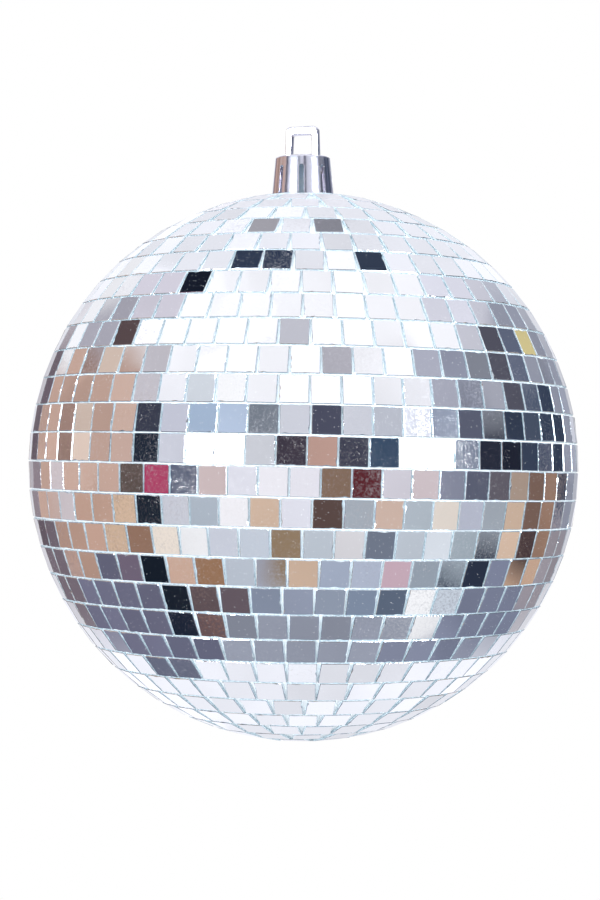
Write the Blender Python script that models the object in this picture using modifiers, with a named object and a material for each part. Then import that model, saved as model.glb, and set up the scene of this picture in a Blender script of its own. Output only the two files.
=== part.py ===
"""Hanging mirror ball. A hollow plastic core in two halves carries strips of square mirror tiles.
A chrome crown cap with a hanging loop turns on a collar that is pushed into the core's neck.
Metres, +Z up. The origin is where a hook bears under the loop's top bar, and -Y is the front."""

import math

import bmesh
import bpy
from mathutils import Matrix

# Driving dimensions. Heights named *_Z are above the ball's centre.
BALL_RADIUS = 0.100  # over the mirror faces
TILE_EDGE = 0.0097
GLASS_THICKNESS = 0.0015
TAPE_THICKNESS = 0.0003
TILE_JOINT = 0.00015  # smallest gap between two tiles of one strip
ROW_GAP = 0.00026  # smallest gap between two strips
ROWS_PER_HALF = 14
POLE_SIDES = 8  # cut tiles round the lower pole
POLE_GAP = 0.0012  # between them and the last strip
FIT_GAP = 0.0003  # between pieces that touch on the real object
FULL_FLATS_BELOW = 64.0  # degrees; a flat spans half a tile on the strips nearer the poles

# Strips were laid by hand: each ring leans to the right, less towards the poles.
LEAN_AT_EQUATOR = math.radians(1.4)
LEAN_AT_POLE = math.radians(0.35)

# Where each strip's first joint lies, right of the front, as a share of a tile. Equator first.
UPPER_STARTS = (0.1, 0.2, 0.15, 0.5, 0.15, 0.9, 0.85, 0.6, 0.5, 0.2, 0.0, 0.5, 0.2, 0.6)
LOWER_STARTS = (0.55, 0.3, 0.0, 0.55, 0.4, 0.6, 0.5, 0.55, 0.5, 0.1, 0.55, 0.0, 0.65, 0.3)

CORE_WALL = 0.002
CORE_STEPS = 32
LIP_HEIGHT = 0.005
LIP_WALL = 0.0015
NECK_BORE_RADIUS = 0.0074
NECK_WALL = 0.0016
NECK_DEPTH = 0.018
SEAT_Z = 0.0970  # flat on the core's top, round the neck

COLLAR_FLANGE_RADIUS = 0.0120
COLLAR_FLANGE_THICKNESS = 0.0013
COLLAR_BORE_RADIUS = 0.0043
COLLAR_LENGTH = 0.0198
COLLAR_BARBS = 3
COLLAR_BARB_HEIGHT = 0.0004
COLLAR_EDGE = 0.0003

STEM_RADIUS = 0.0040
STEM_FLANGE_RADIUS = 0.0070
STEM_FLANGE_THICKNESS = 0.0015
STEM_TAIL = 0.0010
STEM_CHAMFER = 0.0006
GROOVE_RADIUS = 0.0032
CLIP_RADIUS = 0.0062
CLIP_THICKNESS = 0.0008
CLIP_MOUTH = 0.0050
CLIP_PLAY = 0.0006

CROWN_HEIGHT = 0.0144
CROWN_TOP_RADIUS = 0.0100
CROWN_RIM_RADIUS = 0.01135
CROWN_WALL = 0.0012
CROWN_TOP_THICKNESS = 0.0014
CROWN_EDGE_RADIUS = 0.0006
CROWN_SLOTS = 8
SLOT_WIDTH = 0.0018
SLOT_CORNER = 0.0012
SLOT_BELOW_TOP = 0.0035
SLOT_TURN = math.radians(-3.0)  # of the front slot, from the front

LOOP_TURN = math.radians(-20.0)
LOOP_DEPTH = 0.0034
LOOP_WIDTH = 0.0128
LOOP_TOP_WIDTH = 0.0122
LOOP_HEIGHT = 0.0111
LOOP_LEG = 0.00225
LOOP_TOP_BAR = 0.0031
LOOP_FOOT_BAR = 0.0008
LOOP_CORNER = 0.0018
WINDOW_CORNER = 0.0007
LOOP_EDGE = 0.0005
SPIGOT_RADIUS = 0.0020
SPIGOT_LENGTH = 0.0068
SPIGOT_CLEARANCE = 0.0004

# What follows from them.
STRIP_BACK_RADIUS = BALL_RADIUS - GLASS_THICKNESS - TAPE_THICKNESS
CORE_RADIUS = STRIP_BACK_RADIUS - FIT_GAP
COLLAR_TOP_Z = SEAT_Z + FIT_GAP + COLLAR_FLANGE_THICKNESS
COLLAR_FOOT_Z = COLLAR_TOP_Z - COLLAR_FLANGE_THICKNESS - COLLAR_LENGTH
CROWN_RIM_Z = COLLAR_TOP_Z + FIT_GAP
CROWN_TOP_Z = CROWN_RIM_Z + CROWN_HEIGHT
LOOP_FOOT_Z = CROWN_TOP_Z + FIT_GAP
LOOP_TOP_Z = LOOP_FOOT_Z + LOOP_HEIGHT
HOOK_Z = LOOP_TOP_Z - LOOP_TOP_BAR
CENTRE = Matrix.Translation((0, 0, -HOOK_Z))  # the ball's centre, in the object's frame

COLOURS = {  # base colour, roughness, metallic
    "mirror": ((0.90, 0.92, 0.94, 1), 0.04, 1.0),
    "chrome_plating": ((0.80, 0.80, 0.83, 1), 0.10, 1.0),
    "core_plastic": ((0.86, 0.86, 0.84, 1), 0.50, 0.0),
    "collar_plastic": ((0.92, 0.92, 0.90, 1), 0.40, 0.0),
    "clip_steel": ((0.60, 0.61, 0.62, 1), 0.30, 1.0),
}


def clear_scene():
    for obj in list(bpy.data.objects):
        bpy.data.objects.remove(obj)


def new_collection(name):
    collection = bpy.data.collections.new(name)
    bpy.context.scene.collection.children.link(collection)
    return collection


def new_material(name):
    colour, roughness, metallic = COLOURS[name]
    material = bpy.data.materials.new(name)
    material.use_nodes = True
    shader = material.node_tree.nodes["Principled BSDF"]
    shader.inputs["Base Color"].default_value = colour
    shader.inputs["Roughness"].default_value = roughness
    shader.inputs["Metallic"].default_value = metallic
    return material


def new_object(name, mesh, collection, matrix=CENTRE):
    obj = bpy.data.objects.new(name, mesh)
    collection.objects.link(obj)
    obj.matrix_world = matrix
    return obj


def turned(name, profile, steps, collection, closed=True, matrix=CENTRE):
    """A profile of (radius, height) points turned round Z. It runs down its outer side."""
    mesh = bpy.data.meshes.new(name)
    count = len(profile)
    edges = [(i, (i + 1) % count) for i in range(count if closed else count - 1)]
    mesh.from_pydata([(radius, 0, height) for radius, height in profile], edges, [])
    obj = new_object(name, mesh, collection, matrix)
    screw = obj.modifiers.new("Turn", "SCREW")
    screw.angle = math.tau
    screw.steps = screw.render_steps = steps
    screw.use_merge_vertices = True
    screw.merge_threshold = 0.00001
    return obj


def arc(radius, start, end, segments, centre=(0, 0)):
    """Points on an arc in the profile plane, between two latitudes in radians."""
    angles = [start + (end - start) * i / segments for i in range(segments + 1)]
    return [(centre[0] + radius * math.cos(a), centre[1] + radius * math.sin(a)) for a in angles]


def boolean(obj, other, operation):
    modifier = obj.modifiers.new(operation.title(), "BOOLEAN")
    modifier.operation = operation
    modifier.object = other


def as_cutter(obj):
    obj.hide_render = True
    obj.display_type = "WIRE"


def plate(name, outlines, thickness, collection, matrix):
    """Flat outlines in the XZ plane, the later ones being holes, made thickness deep along Y."""
    curve = bpy.data.curves.new(name, "CURVE")
    curve.dimensions = "2D"
    curve.fill_mode = "BOTH"
    curve.extrude = thickness / 2
    for outline in outlines:
        spline = curve.splines.new("POLY")
        spline.points.add(len(outline) - 1)
        for point, (x, z) in zip(spline.points, outline):
            point.co = (x, z, 0, 1)
        spline.use_cyclic_u = True
    drawn = bpy.data.objects.new(name, curve)
    collection.objects.link(drawn)
    graph = bpy.context.evaluated_depsgraph_get()
    mesh = bpy.data.meshes.new_from_object(drawn.evaluated_get(graph))
    bpy.data.objects.remove(drawn)
    shape = bmesh.new()
    shape.from_mesh(mesh)
    bmesh.ops.remove_doubles(shape, verts=shape.verts, dist=0.000001)
    bmesh.ops.transform(shape, matrix=Matrix.Rotation(math.pi / 2, 4, "X"), verts=shape.verts)
    shape.to_mesh(mesh)
    shape.free()
    return new_object(name, mesh, collection, matrix)


def rod(name, radius, low_z, high_z, collection, vertices=32):
    shape = bmesh.new()
    place = Matrix.Translation((0, 0, (low_z + high_z) / 2))
    bmesh.ops.create_cone(
        shape,
        cap_ends=True,
        segments=vertices,
        radius1=radius,
        radius2=radius,
        depth=high_z - low_z,
        matrix=place,
    )
    mesh = bpy.data.meshes.new(name)
    shape.to_mesh(mesh)
    shape.free()
    return new_object(name, mesh, collection)


def strip_layout():
    """(latitude, tiles) of each strip of one half, from the equator up. A tile's straight edge
    bows away from its circle, so strips stand further apart towards the pole."""
    strips = []
    half_angle = math.atan(TILE_EDGE / 2 / STRIP_BACK_RADIUS)
    edge = -ROW_GAP / 2 / STRIP_BACK_RADIUS
    for _ in range(ROWS_PER_HALF):
        bow = TILE_EDGE**2 / 8 * math.tan(edge + half_angle) / STRIP_BACK_RADIUS
        latitude = edge + (ROW_GAP + bow) / STRIP_BACK_RADIUS + half_angle
        edge = latitude + half_angle
        pole_side_radius = STRIP_BACK_RADIUS / math.cos(half_angle) * math.cos(edge)
        half_step = math.atan((TILE_EDGE + TILE_JOINT) / 2 / pole_side_radius)
        strips.append((latitude, math.floor(math.pi / half_step)))
    return strips


def strip_band(name, latitude, tiles, start, lean, side, collection):
    """One strip as a ring of flats, one flat to a tile. side is 1 above the equator, -1 below."""
    across = (math.cos(latitude), math.sin(latitude))
    along = (-math.sin(latitude), math.cos(latitude))
    # Wide flats near the poles would reach the next strip, so a flat there covers half a tile.
    flats = tiles if math.degrees(latitude) < FULL_FLATS_BELOW else 2 * tiles
    widen = 1 / math.cos(math.pi / flats)
    corners = [
        (BALL_RADIUS, TILE_EDGE / 2),
        (BALL_RADIUS, -TILE_EDGE / 2),
        (STRIP_BACK_RADIUS, -TILE_EDGE / 2),
        (STRIP_BACK_RADIUS, TILE_EDGE / 2),
    ]
    profile = [
        ((across[0] * out + along[0] * up) * widen, side * (across[1] * out + along[1] * up))
        for out, up in corners
    ]
    if side < 0:
        profile.reverse()
    front = -math.pi / 2
    turn = Matrix.Rotation(front + start * math.tau / tiles, 4, "Z")
    matrix = CENTRE @ Matrix.Rotation(lean, 4, "Y") @ turn
    return turned(name, profile, flats, collection, matrix=matrix)


def mirror_strips(collection):
    layout = strip_layout()
    strips = []
    for half, side, starts in (("upper", 1, UPPER_STARTS), ("lower", -1, LOWER_STARTS)):
        for i, (latitude, tiles) in enumerate(layout):
            share = i / (ROWS_PER_HALF - 1)
            lean = LEAN_AT_EQUATOR + (LEAN_AT_POLE - LEAN_AT_EQUATOR) * share
            name = f"tile_strip_{half}_{i + 1:02d}"
            strips.append(strip_band(name, latitude, tiles, starts[i], lean, side, collection))
    return strips


def pole_tiles(collection):
    """The cluster that closes the lower pole: a flat middle tile and cut tiles sloping off it."""
    top_latitude = strip_layout()[-1][0]
    hole_radius = STRIP_BACK_RADIUS * math.cos(top_latitude + math.atan(TILE_EDGE / 2 / BALL_RADIUS))
    widen = 1 / math.cos(math.pi / POLE_SIDES)
    rim = (hole_radius - POLE_GAP) / widen
    middle = TILE_EDGE / 2
    drop = BALL_RADIUS - math.sqrt(BALL_RADIUS**2 - rim**2)
    thickness = BALL_RADIUS - STRIP_BACK_RADIUS
    profile = [
        (0, thickness - BALL_RADIUS),
        (middle, thickness - BALL_RADIUS),
        (rim, thickness - BALL_RADIUS + drop),
        (rim, drop - BALL_RADIUS),
        (middle, -BALL_RADIUS),
        (0, -BALL_RADIUS),
    ]
    profile = [(radius * widen, height) for radius, height in profile]
    lean = CENTRE @ Matrix.Rotation(LEAN_AT_POLE, 4, "Y") @ Matrix.Rotation(math.pi / POLE_SIDES, 4, "Z")
    return turned("pole_tiles_lower", profile, POLE_SIDES, collection, closed=False, matrix=lean)


def core_upper(collection):
    inner = CORE_RADIUS - CORE_WALL
    neck_outer = NECK_BORE_RADIUS + NECK_WALL
    seam = FIT_GAP / 2
    profile = [(NECK_BORE_RADIUS, SEAT_Z)]
    profile += arc(CORE_RADIUS, math.asin(SEAT_Z / CORE_RADIUS), math.asin(seam / CORE_RADIUS), 7)
    profile += [(inner, seam), (inner, LIP_HEIGHT + 2 * FIT_GAP)]  # straight, clear of the lip
    profile += arc(inner, math.radians(9), math.acos(neck_outer / inner), 6)
    profile += [(neck_outer, SEAT_Z - NECK_DEPTH), (NECK_BORE_RADIUS, SEAT_Z - NECK_DEPTH)]
    return turned("core_upper_half", profile, CORE_STEPS, collection)


def core_lower(collection):
    inner = CORE_RADIUS - CORE_WALL
    lip_outer = inner - FIT_GAP
    lip_inner = lip_outer - LIP_WALL
    seam = FIT_GAP / 2
    profile = arc(inner, -math.pi / 2, math.radians(-4), 7)
    profile += [(lip_inner, -LIP_HEIGHT / 2), (lip_inner, LIP_HEIGHT), (lip_outer, LIP_HEIGHT)]
    profile += [(lip_outer, -seam)]
    profile += arc(CORE_RADIUS, -math.asin(seam / CORE_RADIUS), -math.pi / 2, 7)
    profile[0] = (0, -inner)
    profile[-1] = (0, -CORE_RADIUS)
    return turned("core_lower_half", profile, CORE_STEPS, collection, closed=False)


def neck_collar(collection):
    """Flanged sleeve. Barbs on its tube grip the neck."""
    tube_radius = NECK_BORE_RADIUS - FIT_GAP
    flange_foot = COLLAR_TOP_Z - COLLAR_FLANGE_THICKNESS
    profile = [
        (COLLAR_BORE_RADIUS, COLLAR_TOP_Z),
        (COLLAR_FLANGE_RADIUS - COLLAR_EDGE, COLLAR_TOP_Z),
        (COLLAR_FLANGE_RADIUS, COLLAR_TOP_Z - COLLAR_EDGE),
        (COLLAR_FLANGE_RADIUS, flange_foot),
    ]
    pitch = COLLAR_LENGTH / (COLLAR_BARBS + 1)
    shank = tube_radius - COLLAR_BARB_HEIGHT
    profile.append((shank, flange_foot))
    for barb in range(1, COLLAR_BARBS + 1):
        top = flange_foot - barb * pitch
        profile += [(shank, top), (tube_radius, top), (shank, top - pitch / 2)]
    profile += [(shank, COLLAR_FOOT_Z), (COLLAR_BORE_RADIUS, COLLAR_FOOT_Z)]
    return turned("neck_collar", profile, 24, collection)


def clip_heights():
    """(low, high) of the retaining clip, just under the collar."""
    high = COLLAR_FOOT_Z - CLIP_PLAY
    return high - CLIP_THICKNESS, high


def cap_stem(collection):
    """Pin under the crown. It turns in the collar and is grooved for the clip."""
    top = CROWN_TOP_Z - CROWN_TOP_THICKNESS - FIT_GAP
    clip_low, clip_high = clip_heights()
    foot = clip_low - FIT_GAP - STEM_TAIL
    socket_radius = SPIGOT_RADIUS + SPIGOT_CLEARANCE
    socket_foot = LOOP_FOOT_Z - SPIGOT_LENGTH - FIT_GAP
    profile = [
        (0, socket_foot),
        (socket_radius, socket_foot),
        (socket_radius, top),
        (STEM_FLANGE_RADIUS, top),
        (STEM_FLANGE_RADIUS, top - STEM_FLANGE_THICKNESS),
        (STEM_RADIUS, top - STEM_FLANGE_THICKNESS),
        (STEM_RADIUS, clip_high + FIT_GAP),
        (GROOVE_RADIUS, clip_high + FIT_GAP),
        (GROOVE_RADIUS, clip_low - FIT_GAP),
        (STEM_RADIUS, clip_low - FIT_GAP),
        (STEM_RADIUS, foot + STEM_CHAMFER),
        (STEM_RADIUS - STEM_CHAMFER, foot),
        (0, foot),
    ]
    return turned("cap_stem", profile, 24, collection, closed=False)


def stem_clip(collection, cutters):
    """C-shaped ring in the stem's groove. Its mouth lets it push on from the side."""
    low, high = clip_heights()
    bore = GROOVE_RADIUS + FIT_GAP
    profile = [(bore, high), (CLIP_RADIUS, high), (CLIP_RADIUS, low), (bore, low)]
    clip = turned("stem_clip", profile, 24, collection)
    half_mouth = CLIP_MOUTH / 2
    outline = [(-half_mouth, low - CLIP_THICKNESS), (half_mouth, low - CLIP_THICKNESS)]
    outline += [(half_mouth, high + CLIP_THICKNESS), (-half_mouth, high + CLIP_THICKNESS)]
    place = CENTRE @ Matrix.Translation((0, CLIP_RADIUS, 0))
    mouth = plate("clip_mouth_cutter", [outline], 2 * CLIP_RADIUS, cutters, place)
    as_cutter(mouth)
    boolean(clip, mouth, "DIFFERENCE")
    return clip


def slot_outline():
    """A slot open at the rim, with a round top, between legs whose bottom corners are round."""
    half = SLOT_WIDTH / 2
    top_centre = (0, CROWN_TOP_Z - SLOT_BELOW_TOP - half)
    corner_z = CROWN_RIM_Z + SLOT_CORNER
    wide = half + SLOT_CORNER
    below = CROWN_RIM_Z - SLOT_CORNER
    right = [(wide, below)] + arc(SLOT_CORNER, 1.5 * math.pi, math.pi, 4, (wide, corner_z))
    right += arc(half, 0, math.pi / 2, 4, top_centre)
    left = [(-x, z) for x, z in reversed(right[:-1])]
    return right + left


def crown_cap(collection, cutters):
    """Tapered cap with a slotted skirt."""
    inner_top = CROWN_TOP_RADIUS - CROWN_WALL
    ceiling = CROWN_TOP_Z - CROWN_TOP_THICKNESS
    hole = SPIGOT_RADIUS + SPIGOT_CLEARANCE
    edge_centre = (CROWN_TOP_RADIUS - CROWN_EDGE_RADIUS, CROWN_TOP_Z - CROWN_EDGE_RADIUS)
    profile = [(hole, CROWN_TOP_Z)]
    profile += arc(CROWN_EDGE_RADIUS, math.pi / 2, 0, 3, edge_centre)
    profile += [(CROWN_RIM_RADIUS, CROWN_RIM_Z), (CROWN_RIM_RADIUS - CROWN_WALL, CROWN_RIM_Z)]
    profile += [(inner_top, ceiling), (hole, ceiling)]
    crown = turned("crown_cap", profile, 48, collection)
    for slot in range(CROWN_SLOTS):
        turn = Matrix.Rotation(SLOT_TURN + slot * math.tau / CROWN_SLOTS, 4, "Z")
        place = CENTRE @ turn @ Matrix.Translation((0, -CROWN_RIM_RADIUS, 0))
        reach = CROWN_RIM_RADIUS
        cutter = plate(f"slot_cutter_{slot + 1}", [slot_outline()], reach, cutters, place)
        as_cutter(cutter)
        boolean(crown, cutter, "DIFFERENCE")
    return crown


def rounded_frame(low, high, half_low, half_high, corner, round_bottom):
    """A tapered upright outline with round top corners and, for a window, round bottom ones."""
    right_bottom = [(half_low, low)]
    if round_bottom:
        centre = (half_low - corner, low + corner)
        right_bottom = arc(corner, -math.pi / 2, 0, 4, centre)
    right_top = arc(corner, 0, math.pi / 2, 6, (half_high - corner, high - corner))
    right = right_bottom + right_top
    return right + [(-x, z) for x, z in reversed(right)]


def hanging_loop(collection, cutters):
    """Moulded loop with a window for the hook, and a spigot through the crown's top."""
    outer = rounded_frame(
        LOOP_FOOT_Z, LOOP_TOP_Z, LOOP_WIDTH / 2, LOOP_TOP_WIDTH / 2, LOOP_CORNER, False
    )
    half_window = LOOP_WIDTH / 2 - LOOP_LEG
    half_window_top = LOOP_TOP_WIDTH / 2 - LOOP_LEG
    window = rounded_frame(
        LOOP_FOOT_Z + LOOP_FOOT_BAR, HOOK_Z, half_window, half_window_top, WINDOW_CORNER, True
    )
    place = CENTRE @ Matrix.Rotation(LOOP_TURN, 4, "Z")
    loop = plate("hanging_loop", [outer, window], LOOP_DEPTH, collection, place)
    bevel = loop.modifiers.new("Edges", "BEVEL")
    bevel.width = LOOP_EDGE
    bevel.segments = 2
    bevel.limit_method = "ANGLE"
    bevel.angle_limit = math.radians(50)
    spigot_top = LOOP_FOOT_Z + LOOP_FOOT_BAR / 2
    spigot = rod("spigot", SPIGOT_RADIUS, LOOP_FOOT_Z - SPIGOT_LENGTH, spigot_top, cutters, 24)
    as_cutter(spigot)
    boolean(loop, spigot, "UNION")
    return loop


def finish(objects, material):
    for obj in objects:
        obj.data.materials.clear()
        obj.data.materials.append(material)


def main():
    clear_scene()
    ball = new_collection("mirror_ball")
    cutters = new_collection("cutters")
    materials = {name: new_material(name) for name in COLOURS}
    finish([*mirror_strips(ball), pole_tiles(ball)], materials["mirror"])
    finish([core_upper(ball), core_lower(ball)], materials["core_plastic"])
    finish([neck_collar(ball), cap_stem(ball)], materials["collar_plastic"])
    finish([stem_clip(ball, cutters)], materials["clip_steel"])
    finish([crown_cap(ball, cutters), hanging_loop(ball, cutters)], materials["chrome_plating"])


main()
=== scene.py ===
import math
import random

import bpy
from mathutils import Matrix, Vector


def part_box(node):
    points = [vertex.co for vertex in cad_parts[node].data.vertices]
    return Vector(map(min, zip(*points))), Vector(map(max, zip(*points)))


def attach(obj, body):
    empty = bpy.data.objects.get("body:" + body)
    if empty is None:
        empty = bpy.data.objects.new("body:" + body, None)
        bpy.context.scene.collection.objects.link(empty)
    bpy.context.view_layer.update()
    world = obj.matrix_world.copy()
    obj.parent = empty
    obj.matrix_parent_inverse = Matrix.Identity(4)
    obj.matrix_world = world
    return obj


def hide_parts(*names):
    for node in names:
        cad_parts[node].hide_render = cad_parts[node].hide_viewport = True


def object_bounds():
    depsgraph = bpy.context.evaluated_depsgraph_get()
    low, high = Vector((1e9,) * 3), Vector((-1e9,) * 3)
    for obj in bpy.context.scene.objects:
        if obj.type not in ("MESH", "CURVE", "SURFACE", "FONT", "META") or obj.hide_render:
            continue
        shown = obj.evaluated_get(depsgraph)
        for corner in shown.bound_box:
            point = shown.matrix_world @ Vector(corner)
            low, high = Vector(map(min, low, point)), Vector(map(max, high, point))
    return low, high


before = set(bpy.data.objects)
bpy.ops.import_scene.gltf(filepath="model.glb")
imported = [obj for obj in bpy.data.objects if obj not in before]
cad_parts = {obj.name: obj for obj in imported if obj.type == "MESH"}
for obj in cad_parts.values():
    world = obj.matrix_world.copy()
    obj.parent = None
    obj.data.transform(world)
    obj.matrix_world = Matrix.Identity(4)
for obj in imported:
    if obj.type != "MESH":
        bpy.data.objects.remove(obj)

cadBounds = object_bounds()
millimetre = 0.001

ball = {
    "radius": 100 * millimetre,  # over the mirror faces
    "tileEdge": 9.7 * millimetre,
    "glass": 1.5 * millimetre,
    "tape": 0.3 * millimetre,
    "tileJoint": 0.15 * millimetre,
    "rowGap": 0.26 * millimetre,
    "rowsPerHalf": 14,
    "leanAtEquator": math.radians(1.4),
    "leanAtPole": math.radians(0.35),
    "upperStarts": (0.1, 0.2, 0.15, 0.5, 0.15, 0.9, 0.85, 0.6, 0.5, 0.2, 0.0, 0.5, 0.2, 0.6),
    "lowerStarts": (0.55, 0.3, 0.0, 0.55, 0.4, 0.6, 0.5, 0.55, 0.5, 0.1, 0.55, 0.0, 0.65, 0.3),
}

equatorLow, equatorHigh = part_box("tile_strip_lower_01")[0].z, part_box("tile_strip_upper_01")[1].z
ballCentre = Vector((0, 0, (equatorLow + equatorHigh) / 2))


camera = {
    "distance": 8 * ball["radius"],
    "lens": 87.15,
    "sensor": 36,
    "nearest": 0.01,
    "roll": math.radians(0.12),
    "shiftX": -0.0038889,  # the ball hangs a little right of the frame's middle, and below it
    "shiftY": 0.0183333,
}


def makeCamera():
    data = bpy.data.cameras.new("camera")
    data.sensor_width = camera["sensor"]
    data.lens = camera["lens"]
    data.shift_x, data.shift_y = camera["shiftX"], camera["shiftY"]
    data.clip_start = camera["nearest"]
    obj = bpy.data.objects.new("camera", data)
    bpy.context.scene.collection.objects.link(obj)
    turn = Matrix.Rotation(math.pi / 2, 4, "X") @ Matrix.Rotation(-camera["roll"], 4, "Z")
    obj.matrix_world = Matrix.Translation(ballCentre + Vector((0, -camera["distance"], 0))) @ turn
    bpy.context.scene.camera = obj


def linear(red, green, blue):  # a screen colour, 0 to 255 in each channel, as a shader wants it
    values = [v / 255 for v in (red, green, blue)]
    return tuple(v / 12.92 if v < 0.04 else ((v + 0.055) / 1.055) ** 2.4 for v in values) + (1,)


def addNode(tree, kind, settings=None, **inputs):
    node = tree.nodes.new(kind)
    for name, value in (settings or {}).items():
        setattr(node, name, value)
    for name, value in inputs.items():
        key = int(name[1:]) if name[0] == "i" and name[1:].isdigit() else name.replace("_", " ")
        if isinstance(value, bpy.types.NodeSocket):
            tree.links.new(value, node.inputs[key])
        else:
            node.inputs[key].default_value = value
    return node


def calculate(tree, operation, *values, clamp=False):
    settings = {"operation": operation, "use_clamp": clamp}
    inputs = {f"i{i}": value for i, value in enumerate(values)}
    return addNode(tree, "ShaderNodeMath", settings, **inputs).outputs[0]


def mixColour(tree, factor, first, second, blend="MIX"):
    node = addNode(tree, "ShaderNodeMix", {"data_type": "RGBA", "blend_type": blend})
    for socket, value in ((node.inputs[0], factor), (node.inputs[6], first), (node.inputs[7], second)):
        if isinstance(value, bpy.types.NodeSocket):
            tree.links.new(value, socket)
        else:
            socket.default_value = value
    return node.outputs[2]


def mixShader(tree, factor, first, second):
    return addNode(tree, "ShaderNodeMixShader", i0=factor, i1=first, i2=second).outputs[0]


def ramp(tree, value, low, high, toLow=0.0, toHigh=1.0):
    settings = {"interpolation_type": "SMOOTHSTEP"}
    node = addNode(tree, "ShaderNodeMapRange", settings, Value=value)
    for name, number in (("From Min", low), ("From Max", high), ("To Min", toLow), ("To Max", toHigh)):
        if isinstance(number, bpy.types.NodeSocket):
            tree.links.new(number, node.inputs[name])
        else:
            node.inputs[name].default_value = number
    return node.outputs[0]


def grey(tree, value):  # a colour from one number
    return addNode(tree, "ShaderNodeCombineColor", i0=value, i1=value, i2=value).outputs[0]


def firstChannel(tree, colour):
    return addNode(tree, "ShaderNodeSeparateColor", Color=colour).outputs[0]


def noiseAt(tree, vector, scale, detail, distortion=0.0):
    settings = {"Vector": vector, "Scale": scale, "Detail": detail, "Distortion": distortion}
    return addNode(tree, "ShaderNodeTexNoise", **settings).outputs


def newGroup(name, inputs, outputs):
    tree = bpy.data.node_groups.new(name, "ShaderNodeTree")
    for socketName, kind, value in inputs:
        socket = tree.interface.new_socket(socketName, in_out="INPUT", socket_type=kind)
        if value is not None:
            socket.default_value = value
    for socketName, kind in outputs:
        tree.interface.new_socket(socketName, in_out="OUTPUT", socket_type=kind)
    return tree, tree.nodes.new("NodeGroupInput"), tree.nodes.new("NodeGroupOutput")


def placeGroup(tree, group, **inputs):
    return addNode(tree, "ShaderNodeGroup", {"node_tree": group}, **inputs)


def newMaterial(name):
    material = bpy.data.materials.new(name)
    material.use_nodes = True
    tree = material.node_tree
    shader = tree.nodes["Principled BSDF"]
    return material, tree, shader


studio = {
    "cameraWhite": (1, 1, 1, 1),
    "ceiling": (1.12, 1.12, 1.17, 1),
    "eyeLevel": linear(232, 233, 244),
    "low": linear(196, 204, 214),
    "floor": linear(150, 155, 170),
    "backdrop": (0.96, 0.97, 1.04, 1),
    "bounce": (0.74, 0.80, 0.86, 1),  # what lights the matt surfaces
    "softbox": (24.0, 24.0, 25.0, 1),
    "floorTo": (-64, -44),  # degrees of height over which one tone turns into the next
    "lowTo": (-40, -16),
    "ceilingFrom": (12, 34),
    "backdropEdge": (-0.07, 0.03),
    "backdropCurve": 0.96,  # how much the backdrop narrows upwards and downwards
    "panelSize": 11.0,  # degrees
    "panelTone": (0.85, 1.10),
    "wobble": 1.6,  # degrees
    "wobbleScale": 9.0,
    "cloudScale": 8.0,
    "cloudTone": (0.88, 1.09),
}

# What the tiles see, from the left to the right: (azimuth, half its width, colour), in degrees.
# Azimuth 0 is in front of the ball, and positive is to the right. Later rows stand before earlier ones.
walls = [
    {"name": "upper walls", "height": 38, "half": 16, "things": [
        (-128, 34, linear(216, 212, 224)), (128, 36, linear(222, 222, 234)),
    ]},
    {"name": "walls", "height": 9, "half": 24, "things": [
        (-153, 16, linear(150, 138, 146)), (-148, 3, linear(108, 96, 106)),
        (-136, 6, linear(134, 114, 114)), (-108, 33, linear(202, 170, 156)),
        (-119, 4, linear(160, 132, 122)), (-104, 4, linear(226, 204, 190)),
        (152, 16, linear(152, 156, 172)),
    ]},
    {"name": "door on the right", "height": 4, "half": 13, "things": [
        (106, 31, linear(58, 68, 88)), (97, 1.5, linear(150, 156, 172)),
        (119, 1.5, linear(130, 134, 152)), (112, 5, linear(78, 88, 108)), (86, 4, linear(66, 78, 100)),
    ]},
    {"name": "over the door", "height": 26, "half": 10, "things": [
        (106, 31, linear(160, 164, 180)), (94, 4, linear(188, 190, 204)), (107, 5, linear(92, 92, 106)),
        (120, 5, linear(104, 112, 134)),
    ]},
    {"name": "skirting", "height": -17, "half": 9, "things": [
        (-148, 21, linear(124, 112, 122)), (-103, 24, linear(190, 156, 140)),
        (150, 18, linear(150, 144, 152)),
    ]},
    {"name": "floor by the walls", "height": -36, "half": 13, "things": [
        (-128, 44, linear(112, 112, 134)), (128, 40, linear(124, 130, 152)),
    ]},
    {"name": "far floor", "height": -56, "half": 9, "things": [
        (-106, 50, linear(118, 120, 144)), (128, 44, linear(140, 146, 168)),
    ]},
    {"name": "table", "height": -13, "half": 12, "things": [
        (110, 24, linear(200, 168, 146)), (122, 5, linear(150, 120, 104)),
    ]},
]

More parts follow.
